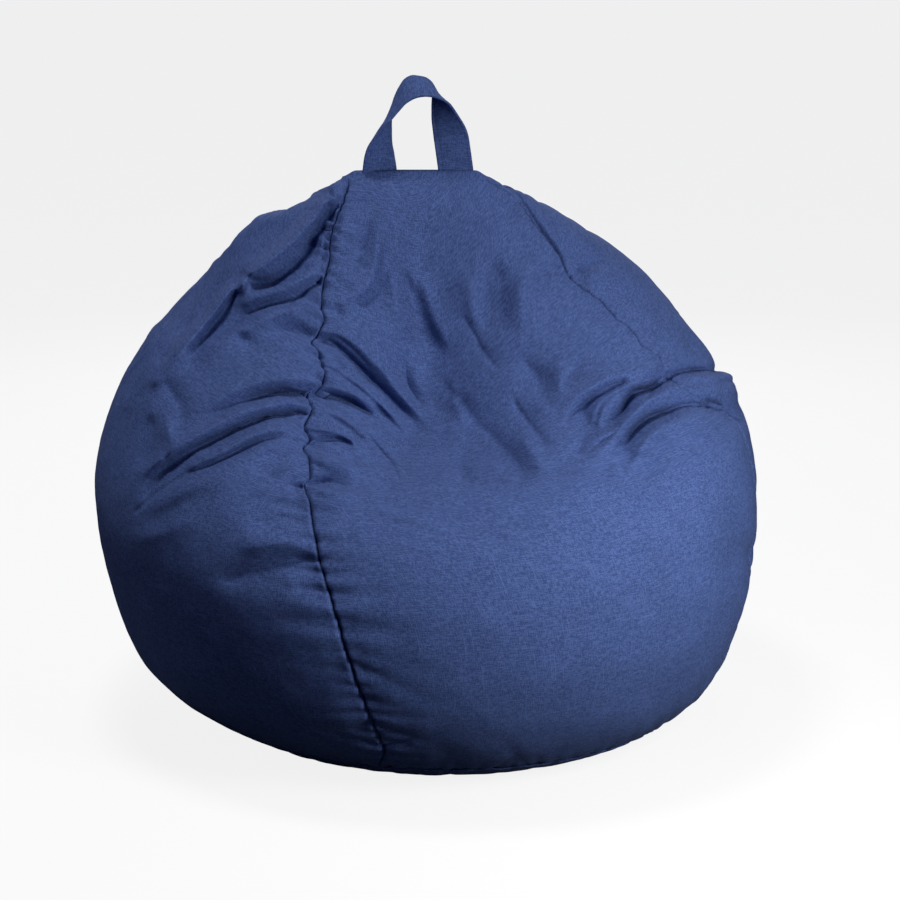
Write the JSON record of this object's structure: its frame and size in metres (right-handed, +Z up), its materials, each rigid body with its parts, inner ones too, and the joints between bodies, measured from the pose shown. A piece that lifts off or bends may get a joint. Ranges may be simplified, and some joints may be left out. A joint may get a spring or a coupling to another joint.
{
  "type": "giant bean bag",
  "caption": "Large pear-shaped bean bag seat with a pressed-in seat hollow, a sloping back, sewn panels, a round base panel and a strap carrying handle on top.",
  "frame": {"origin": "on the floor, in the middle of the flat underside of the base panel", "axes": "+Z up, -Y towards the front where the sitter's legs come down, +X to the right as seen from the front"},
  "size_m": [1.1965, 1.1684, 1.1312],
  "materials": {
    "cloth": "matt navy blue woven linen-look cloth"
  },
  "bodies": {
    "root": {"bag": "cloth", "base_panel": "cloth", "handle": "cloth"}
  },
  "joints": []
}
